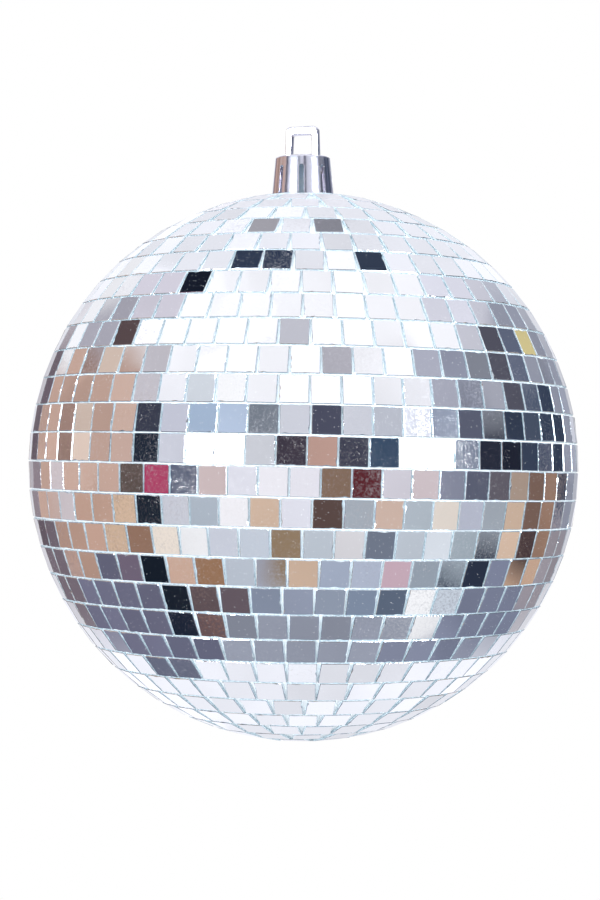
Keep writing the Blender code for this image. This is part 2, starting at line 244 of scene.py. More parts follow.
furniture = [
    {"name": "ceiling track", "height": 77, "half": 8, "things": [(-118, 30, linear(52, 62, 84))]},
    {"name": "ceiling beam", "height": 71, "half": 5, "things": [(116, 17, linear(58, 68, 88))]},
    {"name": "rig behind", "height": 58, "half": 5, "things": [
        (-168, 14, linear(166, 164, 172)), (170, 10, linear(142, 142, 152)),
    ]},
    {"name": "white board", "height": 26, "half": 10, "things": [(-142, 12, linear(246, 246, 250))]},
    {"name": "green cloth", "height": -88, "half": 4, "things": [(90, 90, linear(62, 82, 68))]},
    {"name": "floor edge", "height": -48, "half": 8, "things": [(-131, 9, linear(104, 108, 128))]},
    {"name": "yellow sign", "height": 20, "half": 4, "things": [(134, 2.5, linear(214, 200, 146))]},
    {"name": "stool", "height": -26, "half": 3, "things": [(113, 6, linear(200, 168, 146))]},
    {"name": "left beam", "height": 57, "half": 4.5, "things": [
        (-102, 12, linear(26, 32, 46)), (-10, 8, linear(200, 200, 210)),
    ]},
    {"name": "high shelf", "height": 43, "half": 6, "things": [
        (14, 8, linear(182, 180, 190)), (60, 8, linear(230, 226, 230)),
    ]},
    {"name": "pictures", "height": 31, "half": 6.5, "things": [
        (-120, 14, linear(176, 174, 186)), (-78, 9, linear(208, 204, 212)),
        (-47, 6, linear(222, 228, 236)), (-31, 6, linear(250, 250, 252)),
        (63, 5.5, linear(182, 184, 200)), (74, 5.5, linear(152, 156, 174)), (86, 6, linear(136, 140, 152)),
    ]},
    {"name": "left shelf", "height": 37, "half": 4.5, "things": [(-103, 8, linear(96, 80, 82))]},
    {"name": "windows", "height": 18, "half": 6.5, "things": [
        (-83, 8, linear(208, 178, 164)), (-68, 6, linear(60, 64, 80)), (-57, 5, linear(198, 200, 214)),
        (-44, 7, linear(178, 198, 224)), (-31, 6, linear(186, 202, 226)), (-18, 6, linear(122, 130, 142)),
        (-6, 6, linear(212, 214, 224)), (8, 6, linear(78, 80, 98)), (21, 7, linear(206, 208, 218)),
        (34, 6, linear(200, 204, 216)), (46, 6, linear(226, 230, 242)), (58, 6, linear(154, 164, 184)),
        (71, 6, linear(92, 96, 114)), (84, 6, linear(136, 140, 150)),
    ]},
    {"name": "chairs", "height": 5.5, "half": 6.5, "things": [
        (-96, 3, linear(216, 212, 220)), (-80, 6, linear(206, 176, 164)), (-68, 6, linear(30, 38, 52)),
        (-57, 6, linear(216, 218, 230)), (-18, 7, linear(218, 220, 228)), (-5, 6, linear(64, 58, 70)),
        (7, 6, linear(196, 160, 148)), (19, 6, linear(62, 64, 80)), (31, 6, linear(54, 74, 100)),
        (68, 6, linear(104, 114, 134)), (80, 6, linear(44, 48, 64)), (91, 5, linear(34, 38, 52)),
    ]},
    {"name": "cushions", "height": -6, "half": 6, "things": [
        (-120, 7, linear(206, 196, 200)), (-75, 6, linear(94, 82, 78)), (-61, 6, linear(168, 62, 96)),
        (-50, 6, linear(86, 94, 114)), (-38, 7, linear(206, 188, 188)), (-25, 6, linear(228, 228, 238)),
        (-12, 6, linear(236, 234, 240)), (0, 6, linear(232, 230, 238)), (12, 5.5, linear(132, 108, 92)),
        (24, 6, linear(86, 36, 42)), (37, 6, linear(222, 218, 228)), (49, 6, linear(212, 198, 202)),
        (62, 6, linear(132, 136, 154)), (73, 6, linear(92, 96, 114)), (84, 6, linear(102, 98, 108)),
        (97, 7, linear(172, 152, 138)), (109, 6, linear(122, 98, 88)),
    ]},
    {"name": "low tables", "height": -18, "half": 6, "things": [
        (-83, 7, linear(206, 178, 154)), (-68, 6, linear(30, 38, 50)), (-56, 6, linear(212, 214, 224)),
        (-41, 8, linear(180, 190, 202)), (-27, 6, linear(242, 240, 244)), (-15, 6, linear(216, 188, 166)),
        (-3, 6, linear(226, 226, 236)), (10, 6, linear(96, 78, 74)), (22, 6, linear(166, 174, 184)),
        (34, 7, linear(208, 182, 168)), (48, 6, linear(186, 196, 206)), (61, 7, linear(220, 210, 200)),
        (75, 6, linear(186, 190, 206)), (86, 6, linear(170, 178, 188)), (101, 7, linear(220, 192, 170)),
        (114, 6, linear(74, 60, 62)),
    ]},
    {"name": "boxes", "height": -30, "half": 7, "things": [
        (-88, 7, linear(116, 104, 122)), (-75, 6, linear(154, 120, 102)),
        (-63, 7, linear(236, 224, 212)), (-49, 6, linear(240, 240, 242)),
        (-36, 7, linear(206, 210, 222)), (-22, 7, linear(200, 208, 220)), (-7, 7, linear(150, 128, 104)),
        (7, 6, linear(190, 198, 208)), (20, 7, linear(226, 224, 228)), (34, 6, linear(112, 120, 136)),
        (49, 7, linear(196, 204, 214)), (64, 8, linear(220, 226, 234)), (79, 6, linear(168, 180, 190)),
        (92, 7, linear(46, 54, 72)),
    ]},
    {"name": "dark bag", "height": -38, "half": 8.5, "things": [(-77, 8, linear(26, 34, 46))]},
    {"name": "rugs", "height": -42, "half": 6.5, "things": [
        (-61, 6, linear(200, 166, 148)), (-46, 8, linear(150, 114, 88)),
        (-30, 8, linear(196, 204, 216)), (-15, 7, linear(170, 178, 198)), (1, 7, linear(210, 182, 160)),
        (17, 8, linear(166, 176, 196)), (33, 8, linear(176, 184, 202)), (49, 7, linear(200, 172, 184)),
        (64, 7, linear(150, 160, 172)), (76, 6, linear(52, 62, 80)),
    ]},
    {"name": "nearer floor", "height": -53, "half": 6.5, "things": [
        (-86, 9, linear(30, 38, 54)), (-70, 8, linear(130, 102, 98)), (-57, 8, linear(96, 82, 86)),
        (-41, 9, linear(102, 90, 98)), (-20, 10, linear(142, 152, 172)), (0, 10, linear(152, 160, 180)),
        (20, 10, linear(152, 162, 180)), (40, 10, linear(136, 150, 172)), (57, 9, linear(100, 112, 132)),
        (78, 13, linear(250, 250, 252)),
    ]},
    {"name": "softboxes", "height": 6, "half": 6, "things": [
        (-37, 12.5, studio["softbox"]), (49, 13, studio["softbox"]),
    ]},
]


def thingGroup():
    tree, given, made = newGroup(
        "studioThing",
        [
            ("Behind", "NodeSocketColor", None),
            ("Colour", "NodeSocketColor", None),
            ("Row", "NodeSocketFloat", 0.0),
            ("Azimuth", "NodeSocketFloat", 0.0),
            ("Middle", "NodeSocketFloat", 0.0),
            ("Half Width", "NodeSocketFloat", 5.0),
        ],
        [("Colour", "NodeSocketColor")],
    )
    mask = nearTo(tree, *[given.outputs[name] for name in ("Azimuth", "Middle", "Half Width")])
    mask = calculate(tree, "MULTIPLY", mask, given.outputs["Row"])
    colour = mixColour(tree, mask, given.outputs["Behind"], given.outputs["Colour"])
    tree.links.new(colour, made.inputs[0])
    return tree


def nearTo(tree, angle, middle, half):  # 1 inside, 0 outside, soft by a degree
    off = calculate(tree, "ABSOLUTE", calculate(tree, "SUBTRACT", angle, middle))
    return calculate(tree, "ADD", calculate(tree, "SUBTRACT", half, off), 0.5, clamp=True)


def placeThings(tree, group, rows, colour, azimuth, elevation):
    for row in rows:
        level = nearTo(tree, elevation, row["height"], row["half"])
        for middle, half, shade in row["things"]:
            node = placeGroup(
                tree, group, Behind=colour, Row=level, Azimuth=azimuth, Middle=middle, Half_Width=half
            )
            node.inputs["Colour"].default_value = shade
            node.label = row["name"]
            colour = node.outputs[0]
    return colour


def bentAngles(tree, direction):  # azimuth and elevation in degrees, with wavy edges
    right, away, up = addNode(tree, "ShaderNodeSeparateXYZ", Vector=direction).outputs
    towards = calculate(tree, "MULTIPLY", away, -1.0)
    turned = calculate(tree, "ARCTAN2", right, towards)
    raised = calculate(tree, "ARCSINE", up)
    noise = noiseAt(tree, direction, studio["wobbleScale"], detail=5.0)["Color"]
    shift = addNode(tree, "ShaderNodeSeparateColor", Color=noise).outputs
    wobble = studio["wobble"]
    angles = []
    for angle, channel in ((turned, 0), (raised, 1)):
        angle = calculate(tree, "MULTIPLY", angle, math.degrees(1))
        push = calculate(tree, "MULTIPLY_ADD", shift[channel], 2 * wobble, -wobble)
        angles.append(calculate(tree, "ADD", angle, push))
    return angles


def panelTone(tree, direction):  # panels of the ceiling and the backdrop differ a little
    scaled = addNode(tree, "ShaderNodeVectorMath", {"operation": "SCALE"}, Vector=direction)
    scaled.inputs["Scale"].default_value = math.degrees(1) / studio["panelSize"]
    panels = addNode(tree, "ShaderNodeTexVoronoi", Vector=scaled.outputs[0], Scale=1.0)
    tone = firstChannel(tree, panels.outputs["Color"])
    return grey(tree, ramp(tree, tone, 0.0, 1.0, *studio["panelTone"]))


def backdropMask(tree, direction):
    _, away, up = addNode(tree, "ShaderNodeSeparateXYZ", Vector=direction).outputs
    level = calculate(tree, "ADD", calculate(tree, "MULTIPLY", up, up), -1.0)
    return ramp(
        tree, calculate(tree, "MULTIPLY_ADD", level, studio["backdropCurve"], away), *studio["backdropEdge"]
    )


def roomColour(tree, direction):
    azimuth, elevation = bentAngles(tree, direction)
    colour = mixColour(tree, ramp(tree, elevation, *studio["floorTo"]), studio["floor"], studio["low"])
    colour = mixColour(tree, ramp(tree, elevation, *studio["lowTo"]), colour, studio["eyeLevel"])
    colour = mixColour(tree, ramp(tree, elevation, *studio["ceilingFrom"]), colour, studio["ceiling"])
    group = thingGroup()
    colour = placeThings(tree, group, walls, colour, azimuth, elevation)
    colour = mixColour(tree, backdropMask(tree, direction), colour, studio["backdrop"])
    colour = mixColour(tree, 1.0, colour, panelTone(tree, direction), "MULTIPLY")
    colour = placeThings(tree, group, furniture, colour, azimuth, elevation)
    cloud = noiseAt(tree, direction, studio["cloudScale"], detail=6.0)[0]
    shade = grey(tree, ramp(tree, cloud, 0.3, 0.7, *studio["cloudTone"]))
    return mixColour(tree, 1.0, colour, shade, "MULTIPLY")


def makeStudio():
    world = bpy.data.worlds.new("studio")
    bpy.context.scene.world = world
    world.use_nodes = True
    tree = world.node_tree
    tree.nodes.clear()
    direction = addNode(tree, "ShaderNodeTexCoord").outputs["Generated"]
    colours = (studio["cameraWhite"], roomColour(tree, direction), studio["bounce"])
    seen, mirrored, bounced = [
        addNode(tree, "ShaderNodeBackground", Color=colour, Strength=1.0).outputs[0] for colour in colours
    ]
    path = addNode(tree, "ShaderNodeLightPath").outputs
    light = mixShader(tree, path["Is Diffuse Ray"], mirrored, bounced)
    addNode(tree, "ShaderNodeOutputWorld", Surface=mixShader(tree, path["Is Camera Ray"], light, seen))
    bpy.context.scene.view_settings.view_transform = "Standard"  # a white ground stays white


floor = {"below": 0.16, "radius": 3.0, "sides": 96, "tone": (0.9, 0.9, 0.9, 1), "roughness": 0.9}


def makeFloor():
    height = cadBounds[0][2] - floor["below"]
    bpy.ops.mesh.primitive_circle_add(
        vertices=floor["sides"], radius=floor["radius"], fill_type="NGON", location=(0, 0, height)
    )
    obj = bpy.context.object
    obj.name = "floor"
    material, tree, shader = newMaterial("paleFloor")
    shader.inputs["Base Color"].default_value = floor["tone"]
    shader.inputs["Roughness"].default_value = floor["roughness"]
    glow = addNode(tree, "ShaderNodeEmission", Color=studio["cameraWhite"], Strength=1.0)
    direct = addNode(tree, "ShaderNodeLightPath").outputs["Is Camera Ray"]
    mixed = mixShader(tree, direct, shader.outputs[0], glow.outputs[0])
    tree.links.new(mixed, tree.nodes["Material Output"].inputs["Surface"])
    obj.data.materials.append(material)
    obj.visible_glossy = False
    obj.visible_diffuse = False


makeCamera()
makeStudio()
makeFloor()
print("camera, studio and floor ready")


wearLook = {
    "patchScale": 90.0,
    "patchShare": 0.22,
    "mottleScale": 1300.0,
    "film": (0.33, 0.06),  # the thin film over everything: its mottle and its base
    "hazeByTone": (0.4, 1.5),
    "speckScale": 1500.0,
    "scratchScale": 260.0,
    "scratchBend": 2.5,
    "scratchWidth": 0.006,
    "scratchPatches": 70.0,
    "waveScale": 55.0,
}


def wearGroup():  # haze, scratches and specks on glass and plating
    tree, given, made = newGroup(
        "surfaceWear",
        [
            ("Vector", "NodeSocketVector", None),
            ("Tone", "NodeSocketFloat", 0.5),
            ("Haze", "NodeSocketFloat", 0.1),
            ("Specks", "NodeSocketFloat", 0.2),
            ("Scratches", "NodeSocketFloat", 0.2),
        ],
        [("Haze", "NodeSocketFloat"), ("Specks", "NodeSocketFloat"), ("Height", "NodeSocketFloat")],
    )
    vector = given.outputs["Vector"]
    patches = ramp(tree, noiseAt(tree, vector, wearLook["patchScale"], detail=3.0)[0], 0.38, 0.74)
    mottled = ramp(tree, noiseAt(tree, vector, wearLook["mottleScale"], detail=2.0)[0], 0.32, 0.68)
    patches = calculate(tree, "MULTIPLY", patches, mottled)
    patches = calculate(tree, "MULTIPLY", patches, wearLook["patchShare"])
    film = calculate(tree, "MULTIPLY_ADD", mottled, *wearLook["film"])
    haze = calculate(tree, "MULTIPLY", calculate(tree, "ADD", patches, film), given.outputs["Haze"])
    byTone = ramp(tree, given.outputs["Tone"], 0.2, 1.0, *wearLook["hazeByTone"])
    haze = calculate(tree, "MULTIPLY", haze, byTone)
    dots = addNode(tree, "ShaderNodeTexVoronoi", Vector=vector, Scale=wearLook["speckScale"])
    size = firstChannel(tree, dots.outputs["Color"])
    reach = calculate(tree, "MULTIPLY", ramp(tree, size, 0.55, 1.0), given.outputs["Specks"])
    specks = calculate(tree, "LESS_THAN", dots.outputs["Distance"], reach)
    bend = wearLook["scratchBend"]
    warped = noiseAt(tree, vector, wearLook["scratchScale"], detail=1.0, distortion=bend)[0]
    lines = calculate(tree, "ABSOLUTE", calculate(tree, "SUBTRACT", warped, 0.5))
    lines = ramp(tree, lines, 0.0, wearLook["scratchWidth"], 1.0, 0.0)
    patchy = noiseAt(tree, vector, wearLook["scratchPatches"], detail=0.0)[0]
    lines = calculate(tree, "MULTIPLY", lines, ramp(tree, patchy, 0.5, 0.62))
    lines = calculate(tree, "MULTIPLY", lines, given.outputs["Scratches"])
    tree.links.new(calculate(tree, "ADD", haze, lines, clamp=True), made.inputs["Haze"])
    tree.links.new(specks, made.inputs["Specks"])
    tree.links.new(noiseAt(tree, vector, wearLook["waveScale"], detail=1.0)[0], made.inputs["Height"])
    return tree


def grainGroup():  # fine unevenness of moulded, ground and cut surfaces
    tree, given, made = newGroup(
        "fineGrain",
        [
            ("Vector", "NodeSocketVector", None),
            ("Scale", "NodeSocketFloat", 900.0),
            ("Dark", "NodeSocketColor", None),
            ("Light", "NodeSocketColor", None),
        ],
        [("Colour", "NodeSocketColor"), ("Mask", "NodeSocketFloat"), ("Height", "NodeSocketFloat")],
    )
    coarse = noiseAt(tree, given.outputs["Vector"], given.outputs["Scale"], detail=4.0)[0]
    mask = ramp(tree, coarse, 0.3, 0.7)
    tree.links.new(mixColour(tree, mask, given.outputs["Dark"], given.outputs["Light"]), made.inputs[0])
    tree.links.new(mask, made.inputs["Mask"])
    tree.links.new(coarse, made.inputs["Height"])
    return tree


surfaceWear = wearGroup()
fineGrain = grainGroup()


def objectPlace(tree):
    return addNode(tree, "ShaderNodeTexCoord").outputs["Object"]


def bumped(tree, height, distance):
    return addNode(tree, "ShaderNodeBump", Strength=1.0, Distance=distance, Height=height).outputs[0]


def wearFinish(name, tint, dust, roughness, haze, specks, scratches, wave):
    material, tree, shader = newMaterial(name)
    tone = addNode(tree, "ShaderNodeAttribute", {"attribute_name": "tone"}).outputs["Fac"]
    wear = placeGroup(
        tree, surfaceWear, Vector=objectPlace(tree), Tone=tone, Haze=haze, Specks=specks, Scratches=scratches
    )
    shade = grey(tree, ramp(tree, tone, 0.0, 1.0, 0.93, 1.0))
    colour = mixColour(tree, 1.0, tint, shade, "MULTIPLY")
    colour = mixColour(tree, wear.outputs["Specks"], colour, dust)
    tree.links.new(colour, shader.inputs["Base Color"])
    tree.links.new(calculate(tree, "SUBTRACT", 1.0, wear.outputs["Specks"]), shader.inputs["Metallic"])
    rough = calculate(tree, "ADD", wear.outputs["Haze"], roughness)
    dusty = calculate(tree, "MULTIPLY", wear.outputs["Specks"], 0.5)
    rough = calculate(tree, "ADD", rough, dusty, clamp=True)
    tree.links.new(rough, shader.inputs["Roughness"])
    tree.links.new(bumped(tree, wear.outputs["Height"], wave), shader.inputs["Normal"])
    return material


def grainFinish(name, dark, light, scale, roughness, metallic, depth):
    material, tree, shader = newMaterial(name)
    grain = placeGroup(tree, fineGrain, Vector=objectPlace(tree), Scale=scale, Dark=dark, Light=light)
    tree.links.new(grain.outputs["Colour"], shader.inputs["Base Color"])
    shader.inputs["Metallic"].default_value = metallic
    tree.links.new(ramp(tree, grain.outputs["Mask"], 0, 1, *roughness), shader.inputs["Roughness"])
    tree.links.new(bumped(tree, grain.outputs["Height"], depth), shader.inputs["Normal"])
    return material


finishes = {
    "mirrorFace": wearFinish(
        "mirrorFace", tint=(0.96, 0.97, 0.99, 1), dust=(0.9, 0.93, 0.95, 1),
        roughness=0.012, haze=0.20, specks=0.16, scratches=0.25, wave=0.00002,
    ),
    "foggedMirror": wearFinish(
        "foggedMirror", tint=(0.95, 0.955, 0.975, 1), dust=(0.95, 0.96, 0.98, 1),
        roughness=0.45, haze=0.5, specks=0.16, scratches=0.25, wave=0.00002,
    ),
    "chromePlating": wearFinish(
        "chromePlating", tint=(0.84, 0.84, 0.93, 1), dust=(0.7, 0.7, 0.74, 1),
        roughness=0.15, haze=0.10, specks=0.05, scratches=0.15, wave=0.00003,
    ),
    "cutGlass": grainFinish(
        "cutGlass", dark=(0.42, 0.54, 0.60, 1), light=(0.76, 0.86, 0.90, 1),
        scale=1400.0, roughness=(0.14, 0.40), metallic=0.0, depth=0.00008,
    ),
    "groundEdge": grainFinish(
        "groundEdge", dark=(0.60, 0.70, 0.75, 1), light=(0.88, 0.93, 0.96, 1),
        scale=1700.0, roughness=(0.06, 0.20), metallic=0.9, depth=0.00006,
    ),
    "whiteTape": grainFinish(
        "whiteTape", dark=(0.88, 0.94, 0.96, 1), light=(1.0, 1.0, 1.0, 1),
        scale=2200.0, roughness=(0.5, 0.8), metallic=0.0, depth=0.00005,
    ),
    "corePlastic": grainFinish(
        "corePlastic", dark=(0.80, 0.80, 0.78, 1), light=(0.88, 0.88, 0.86, 1),
        scale=300.0, roughness=(0.42, 0.58), metallic=0.0, depth=0.00003,
    ),
    # pale plastic; its cyan tint is also a painted reflection, standing in for the cyan glints seen through
    # the crown slots
    "collarPlasticPaintedGlint": grainFinish(
        "collarPlasticPaintedGlint", dark=(0.72, 0.86, 0.95, 1), light=(0.88, 0.97, 1.0, 1),
        scale=500.0, roughness=(0.22, 0.36), metallic=0.0, depth=0.00002,
    ),
    "clipSteel": grainFinish(
        "clipSteel", dark=(0.52, 0.53, 0.54, 1), light=(0.68, 0.69, 0.70, 1),
        scale=1200.0, roughness=(0.22, 0.36), metallic=1.0, depth=0.00001,
    ),
}
print("finishes ready")


tile = {
    "seed": 12,
    "trim": 0.04 * millimetre,  # cut a little under size
    "bevel": 0.16 * millimetre,
    "foggedFrom": 11,  # strip of the upper half; glue fogs the tiles round the cap
    "pointsPerEdge": 6,
    "cornerClip": (0.06 * millimetre, 0.32 * millimetre),
    "rag": 0.018 * millimetre,  # unevenness of the cut
    "chipChance": 0.10,
    "chipDepth": (0.10 * millimetre, 0.38 * millimetre),
    "chipFoot": 0.3,  # how much of a chip is left at its foot, and how far it goes down
    "chipDrop": 0.5,
    "tilt": math.radians(0.5),
    "looseTilt": math.radians(1.5),
    "looseChance": 0.07,
    "turn": math.radians(0.5),
    "slip": 0.06 * millimetre,
    "proud": 0.06 * millimetre,
}


def stripLayout():  # as the ball is laid out: latitude and number of tiles of each strip of a half
    backRadius = ball["radius"] - ball["glass"] - ball["tape"]
    halfAngle = math.atan(ball["tileEdge"] / 2 / backRadius)
    edge = -ball["rowGap"] / 2 / backRadius
    strips = []
    for _ in range(ball["rowsPerHalf"]):
        bow = ball["tileEdge"] ** 2 / 8 * math.tan(edge + halfAngle) / backRadius
        latitude = edge + (ball["rowGap"] + bow) / backRadius + halfAngle
        edge = latitude + halfAngle
        poleSide = backRadius / math.cos(halfAngle) * math.cos(edge)
        halfStep = math.atan((ball["tileEdge"] + ball["tileJoint"]) / 2 / poleSide)
        strips.append((latitude, math.floor(math.pi / halfStep)))
    return strips


def raggedOutline(corners, rng):  # (point, way in for the bevel, way in, chip), anticlockwise
    outline = []
    for start, end in zip(corners, corners[1:] + corners[:1]):
        along = (end - start).normalized()
        inward = Vector((-along.y, along.x))
        first = rng.uniform(*tile["cornerClip"])
        last = rng.uniform(*tile["cornerClip"])
        length = (end - start).length
        count = tile["pointsPerEdge"]
        for i in range(count + 1):
            share = i / count
            reach = first + (length - first - last) * share
            chip = abs(rng.gauss(0, tile["rag"]))
            if 0 < i < count and rng.random() < tile["chipChance"]:
                chip += rng.uniform(*tile["chipDepth"])
            outline.append((start + along * reach, inward + along * (1 - 2 * share), inward, chip))
    return outline


tileFinishes = ("mirrorFace", "cutGlass", "whiteTape", "groundEdge", "foggedMirror")
finishAt = {name: i for i, name in enumerate(tileFinishes)}


def addTile(mesh, place, corners, rng, front="mirrorFace"):
    outline = raggedOutline(corners, rng)
    bevel, glass = tile["bevel"], ball["glass"]
    base, count = len(mesh["points"]), len(outline)
    left, drop = tile["chipFoot"], tile["chipDrop"]
    rings = (
        [(point + drawnIn * bevel + inward * chip, 0.0) for point, drawnIn, inward, chip in outline],
        [(point + inward * chip * left, -bevel - chip * drop) for point, _, inward, chip in outline],
        [(point, -glass) for point, _, _, _ in outline],
    )
    for ring in rings:
        mesh["points"] += [place @ Vector((point.x, point.y, depth)) for point, depth in ring]
    faces = [[base + i for i in range(count)]]
    for ring in range(2):
        for i in range(count):
            upper, lower = base + ring * count, base + (ring + 1) * count
            after = (i + 1) % count
            faces.append([upper + i, lower + i, lower + after, upper + after])
    faces.append([base + 2 * count + i for i in reversed(range(count))])
    mesh["faces"] += faces
    mesh["finish"] += [finishAt[front]] + [finishAt["groundEdge"]] * count
    mesh["finish"] += [finishAt["cutGlass"]] * (count + 1)
    mesh["tone"] += [rng.random()] * len(faces)


def onBall(azimuth, latitude, radius):  # frame on the ball: x along the strip, y to the pole, z out
    out = Vector(
        (math.cos(latitude) * math.cos(azimuth), math.cos(latitude) * math.sin(azimuth), math.sin(latitude))
    )
    along = Vector((-math.sin(azimuth), math.cos(azimuth), 0))
    up = out.cross(along)
    turn = Matrix((along, up, out)).transposed().to_4x4()
    return Matrix.Translation(out * radius) @ turn


def handLaid(rng):  # how far off true a tile was pressed down
    tilt = tile["looseTilt"] if rng.random() < tile["looseChance"] else tile["tilt"]
    off = Matrix.Rotation(rng.gauss(0, tilt), 4, "X") @ Matrix.Rotation(rng.gauss(0, tilt), 4, "Y")
    turn = Matrix.Rotation(rng.uniform(-tile["turn"], tile["turn"]), 4, "Z")
    slip = [rng.uniform(-tile["slip"], tile["slip"]) for _ in range(2)]
    return Matrix.Translation((*slip, rng.uniform(-tile["proud"], 0))) @ off @ turn


def square(edge):
    half = edge / 2
    return [Vector((x, y)) for x, y in ((-half, -half), (half, -half), (half, half), (-half, half))]


bed = {
    "seam": 0.0003,  # radians left open at the equator
    "sunk": 0.65 * millimetre,
    "towardsPole": math.radians(0.62),
    "tone": 0.5,
}


def addTape(mesh, low, high, steps, sunk=bed["sunk"]):  # tape and the adhesive between the tiles
    top = ball["radius"] - sunk
    foot = ball["radius"] - ball["glass"] - ball["tape"]
    ring = [(top, low), (top, high), (foot, high), (foot, low)]
    base = len(mesh["points"])
    for i in range(steps):
        azimuth = math.tau * i / steps
        mesh["points"] += [onBall(azimuth, lat, radius).translation for radius, lat in ring]
    for i in range(steps):
        here, there = base + 4 * i, base + 4 * ((i + 1) % steps)
        for j in range(4):
            after = (j + 1) % 4
            mesh["faces"].append([here + j, there + j, there + after, here + after])
    mesh["finish"] += [finishAt["whiteTape"]] * (4 * steps)
    mesh["tone"] += [bed["tone"]] * (4 * steps)


def newMesh():
    return {"points": [], "faces": [], "finish": [], "tone": []}


def makeObject(name, mesh, finishNames, matrix=Matrix.Identity(4)):
    data = bpy.data.meshes.new(name)
    data.from_pydata([tuple(point) for point in mesh["points"]], [], mesh["faces"])
    data.transform(matrix)
    data.polygons.foreach_set("material_index", mesh["finish"])
    data.attributes.new("tone", "FLOAT", "FACE").data.foreach_set("value", mesh["tone"])
    for finishName in finishNames:
        data.materials.append(finishes[finishName])
    data.update()
    obj = bpy.data.objects.new(name, data)
    bpy.context.scene.collection.objects.link(obj)
    return obj


def makeStrips():
    rng = random.Random(tile["seed"])
    layout = stripLayout()
    halfTile = math.atan(ball["tileEdge"] / 2 / ball["radius"])
    outline = square(ball["tileEdge"] - tile["trim"])
    for half, side, starts in (("upper", 1, ball["upperStarts"]), ("lower", -1, ball["lowerStarts"])):
        for i, (latitude, count) in enumerate(layout):
            mesh = newMesh()
            step = math.tau / count
            last = i == len(layout) - 1
            front = "foggedMirror" if side > 0 and i >= tile["foggedFrom"] else "mirrorFace"
            for k in range(count):
                azimuth = -math.pi / 2 + (starts[i] + k + 0.5) * step
                place = onBall(azimuth, side * latitude, ball["radius"]) @ handLaid(rng)
                addTile(mesh, place, outline, rng, front)
            reach = latitude + halfTile + bed["towardsPole"] if last else layout[i + 1][0] - halfTile
            near = latitude - halfTile if i else bed["seam"]
            addTape(mesh, *sorted((side * near, side * reach)), 4 * count)
            share = i / (ball["rowsPerHalf"] - 1)
            lean = ball["leanAtEquator"] + (ball["leanAtPole"] - ball["leanAtEquator"]) * share
            matrix = Matrix.Translation(ballCentre) @ Matrix.Rotation(lean, 4, "Y")
            strip = makeObject(f"tiles_{half}_{i + 1:02d}", mesh, tileFinishes, matrix)
            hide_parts(f"tile_strip_{half}_{i + 1:02d}")
            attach(strip, "ball")


pole = {
    "seed": 5,
    "sides": 8,
    "joint": 0.3 * millimetre,
    "rimInset": 1.2 * millimetre,
    "bed": (-math.radians(89.9), -math.radians(84.4)),
    "bedSteps": 32,
}


def makePoleTiles():
    rng = random.Random(pole["seed"])
    mesh = newMesh()
    sides, joint = pole["sides"], pole["joint"]
    backRadius = ball["radius"] - ball["glass"] - ball["tape"]
    lastEdge = stripLayout()[-1][0] + math.atan(ball["tileEdge"] / 2 / ball["radius"])
    rim = (backRadius * math.cos(lastEdge) - pole["rimInset"]) * math.cos(math.pi / sides)
    middle = ball["tileEdge"] / 2
    slopeAngle = math.atan2(ball["radius"] - math.sqrt(ball["radius"] ** 2 - rim**2), rim - middle)
    down = Matrix.Rotation(math.pi, 4, "X")
    spoke = Vector((middle - joint / 2, 0))
    ring = [Matrix.Rotation(math.tau * (i + 0.5) / sides, 2) @ spoke for i in range(sides)]
    addTile(mesh, down @ Matrix.Translation((0, 0, ball["radius"])), ring, rng)
    tangent = math.tan(math.pi / sides)
    near, far = middle * math.cos(math.pi / sides) + joint, rim
    slope = (far - near) / math.cos(slopeAngle)
    halfNear, halfFar = near * tangent - joint / 2, far * tangent - joint / 2
    wedge = [Vector(p) for p in ((-halfNear, 0), (-halfFar, -slope), (halfFar, -slope), (halfNear, 0))]
    outwards = Matrix.Translation((0, -near, ball["radius"])) @ Matrix.Rotation(slopeAngle, 4, "X")
    for i in range(sides):
        turn = Matrix.Rotation(math.tau * i / sides, 4, "Z")
        addTile(mesh, down @ turn @ outwards, wedge, rng)
    addTape(mesh, *pole["bed"], pole["bedSteps"], sunk=ball["glass"])
    lean = Matrix.Rotation(ball["leanAtPole"], 4, "Y")
    cluster = makeObject("tiles_pole", mesh, tileFinishes, Matrix.Translation(ballCentre) @ lean)
    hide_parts("pole_tiles_lower")
    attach(cluster, "ball")


makeStrips()
makePoleTiles()
print("mirror tiles laid")


crown = {
    "topRadius": 10.0 * millimetre,
    "rimRadius": 11.35 * millimetre,
    "wall": 1.15 * millimetre,
    "edgeRadius": 0.6 * millimetre,
    "holeRadius": 2.4 * millimetre,
    "slots": 8,
    "slotWidth": 1.8 * millimetre,
    "slotBelowTop": 3.5 * millimetre,
    "slotCorner": 1.2 * millimetre,
    "slotTurn": math.radians(-3.0),
    "columns": 14,  # across one leg
    "arcSteps": 6,
    "bandSteps": 4,
    "topSteps": 5,
    "softEdge": 0.18 * millimetre,
    "softSegments": 3,
    "softFrom": math.radians(50),
    "weld": 0.01 * millimetre,
}
platingTone = 0.6
sharpFrom = math.radians(38)


